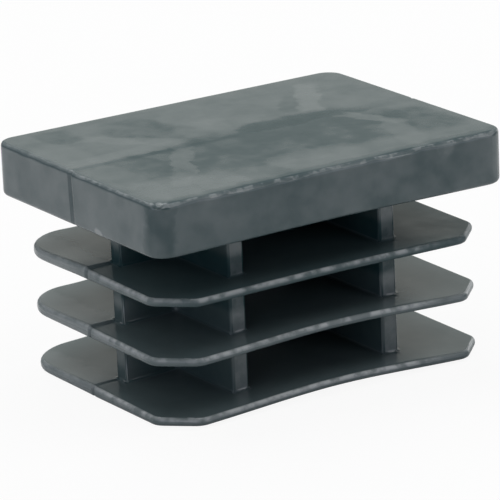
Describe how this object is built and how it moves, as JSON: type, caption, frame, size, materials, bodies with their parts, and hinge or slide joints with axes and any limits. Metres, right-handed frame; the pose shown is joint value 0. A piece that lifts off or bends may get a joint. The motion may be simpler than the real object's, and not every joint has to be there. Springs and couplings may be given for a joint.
{
  "type": "tube end cap",
  "caption": "Rectangular push-in end cap: a plain flat head with rounded corners over a webbed plug whose thin flexible fins grip inside a tube.",
  "frame": {"origin": "centre of the head's underside, the plane that lands on the tube's end", "axes": "+X along the head's length, +Y across its width, +Z out of the tube through the head"},
  "size_m": [0.04, 0.03, 0.023],
  "materials": {
    "grey_polyethylene": "slate grey, moulded, matte with a slight sheen"
  },
  "bodies": {
    "root": {"end_cap": "grey_polyethylene"}
  },
  "joints": []
}
